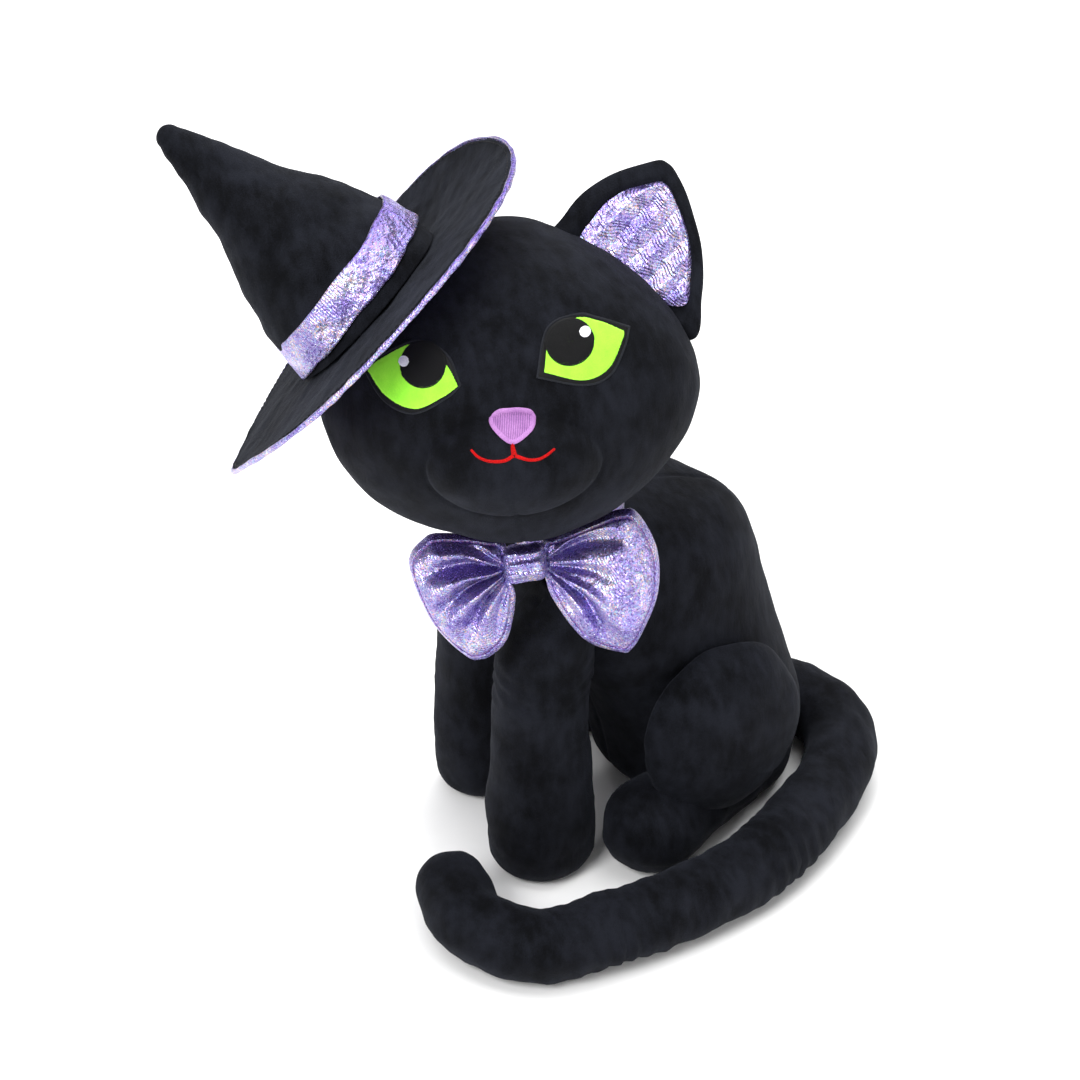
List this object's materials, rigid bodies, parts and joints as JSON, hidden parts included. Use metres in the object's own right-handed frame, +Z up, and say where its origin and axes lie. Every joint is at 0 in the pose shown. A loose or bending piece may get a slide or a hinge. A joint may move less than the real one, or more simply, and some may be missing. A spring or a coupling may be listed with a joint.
{
  "type": "plush cat",
  "caption": "Sitting stuffed toy cat with a long tail curled round its side, a tilted witch hat and a foil bow tie; soft limbs, head and tail flex at their seams.",
  "frame": {"origin": "middle of the flat seat under the torso, on the surface the cat sits on", "axes": "+Z up, the torso faces -Y, the cat's left is +X"},
  "size_m": [0.2508, 0.347, 0.3925],
  "materials": {
    "black_velvet": "short-pile velvet plush",
    "fibre_filling": "loose white fibre",
    "pellets": "small beads in a cloth pouch",
    "foil_fabric": "lilac holographic foil on knit",
    "foam": "thin sheet foam",
    "green_thread": "satin stitch",
    "black_thread": "satin stitch",
    "grey_thread": "satin stitch",
    "white_thread": "satin stitch",
    "lilac_thread": "satin stitch",
    "red_thread": "satin stitch"
  },
  "bodies": {
    "torso": {"torso_cover": "black_velvet", "torso_filling": "fibre_filling", "seat_pellet_pouch": "pellets"},
    "neck_ribbon": {"collar": "foil_fabric", "bow_knot": "foil_fabric"},
    "head": {"head_cover": "black_velvet", "head_filling": "fibre_filling", "muzzle_cover": "black_velvet", "muzzle_filling": "fibre_filling", "nose": "lilac_thread", "mouth": "red_thread", "eye_left_outline": "grey_thread", "eye_left_iris": "green_thread", "eye_left_pupil": "black_thread", "eye_left_highlight": "white_thread", "eye_right_outline": "grey_thread", "eye_right_iris": "green_thread", "eye_right_pupil": "black_thread", "eye_right_highlight": "white_thread", "hat_brim_top": "black_velvet", "hat_brim_foam": "foam", "hat_brim_lining": "foil_fabric", "hat_crown_cover": "black_velvet", "hat_crown_filling": "fibre_filling", "hat_band": "foil_fabric"},
    "ear_left": {"ear_left_back": "black_velvet", "ear_left_lining": "foil_fabric"},
    "hat_tip": {"hat_tip_cover": "black_velvet", "hat_tip_filling": "fibre_filling"},
    "bow_left": {"bow_left_loop": "foil_fabric"},
    "bow_right": {"bow_right_loop": "foil_fabric"},
    "front_leg_left": {"front_leg_left_cover": "black_velvet", "front_leg_left_filling": "fibre_filling"},
    "hind_leg_left": {"haunch_left_cover": "black_velvet", "haunch_left_filling": "fibre_filling", "hind_foot_left_cover": "black_velvet", "hind_foot_left_filling": "fibre_filling"},
    "front_leg_right": {"front_leg_right_cover": "black_velvet", "front_leg_right_filling": "fibre_filling"},
    "hind_leg_right": {"haunch_right_cover": "black_velvet", "haunch_right_filling": "fibre_filling", "hind_foot_right_cover": "black_velvet", "hind_foot_right_filling": "fibre_filling"},
    "tail_root": {"tail_root_cover": "black_velvet", "tail_root_filling": "fibre_filling"},
    "tail_middle": {"tail_middle_cover": "black_velvet", "tail_middle_filling": "fibre_filling"},
    "tail_tip": {"tail_tip_cover": "black_velvet", "tail_tip_filling": "fibre_filling"}
  },
  "joints": [
    {"name": "head_turn", "type": "hinge", "parent": "torso", "child": "neck_ribbon", "pos_m": [0.002, -0.08, 0.203], "axis": [0, 0, 1], "range_deg": [-35, 10], "stiffness_Nm_per_rad": 0.4},
    {"name": "head_nod", "type": "hinge", "parent": "neck_ribbon", "child": "head", "pos_m": [0.002, -0.08, 0.203], "axis": [0.5299, 0.848, 0], "range_deg": [-12, 0]},
    {"name": "ear_left_fold", "type": "hinge", "parent": "head", "child": "ear_left", "pos_m": [0.02754, -0.05538, 0.31522], "axis": [0.6788, 0.5949, -0.4305], "range_deg": [-12, 12], "stiffness_Nm_per_rad": 0.03},
    {"name": "hat_tip_flop", "type": "hinge", "parent": "head", "child": "hat_tip", "pos_m": [-0.06166, -0.19735, 0.3565], "axis": [-0.8532, 0.3881, -0.3484], "range_deg": [-12, 12], "stiffness_Nm_per_rad": 0.08},
    {"name": "bow_left_fold", "type": "hinge", "parent": "neck_ribbon", "child": "bow_left", "pos_m": [0.04944, -0.10821, 0.19617], "axis": [0.3889, -0.0756, -0.9182], "range_deg": [0, 20], "stiffness_Nm_per_rad": 0.01},
    {"name": "bow_right_fold", "type": "hinge", "parent": "neck_ribbon", "child": "bow_right", "pos_m": [0.03756, -0.12879, 0.19283], "axis": [-0.3889, 0.0756, 0.9182], "range_deg": [0, 20], "stiffness_Nm_per_rad": 0.01},
    {"name": "front_leg_left_splay", "type": "hinge", "parent": "torso", "child": "front_leg_left", "pos_m": [0.034, -0.1, 0.128], "axis": [0, -1, 0], "range_deg": [0, 6], "stiffness_Nm_per_rad": 0.3},
    {"name": "front_leg_right_splay", "type": "hinge", "parent": "torso", "child": "front_leg_right", "pos_m": [-0.034, -0.1, 0.128], "axis": [0, 1, 0], "range_deg": [0, 14], "stiffness_Nm_per_rad": 0.3},
    {"name": "hind_leg_left_splay", "type": "hinge", "parent": "torso", "child": "hind_leg_left", "pos_m": [0.0625, 0.034, 0.071], "axis": [0, 0, 1], "range_deg": [0, 8], "stiffness_Nm_per_rad": 0.3},
    {"name": "hind_leg_right_splay", "type": "hinge", "parent": "torso", "child": "hind_leg_right", "pos_m": [-0.0625, 0.034, 0.071], "axis": [0, 0, -1], "range_deg": [0, 30], "stiffness_Nm_per_rad": 0.3},
    {"name": "tail_root_sway", "type": "hinge", "parent": "torso", "child": "tail_root", "pos_m": [0.006, 0.087, 0.0188], "axis": [0, 0, 1], "range_deg": [0, 20]},
    {"name": "tail_middle_bend", "type": "hinge", "parent": "tail_root", "child": "tail_middle", "pos_m": [0.111, -0.011, 0.0188], "axis": [0, 0, 1], "range_deg": [0, 30]},
    {"name": "tail_tip_bend", "type": "hinge", "parent": "tail_middle", "child": "tail_tip", "pos_m": [0.118, -0.112, 0.0188], "axis": [0, 0, 1], "range_deg": [0, 40]}
  ]
}
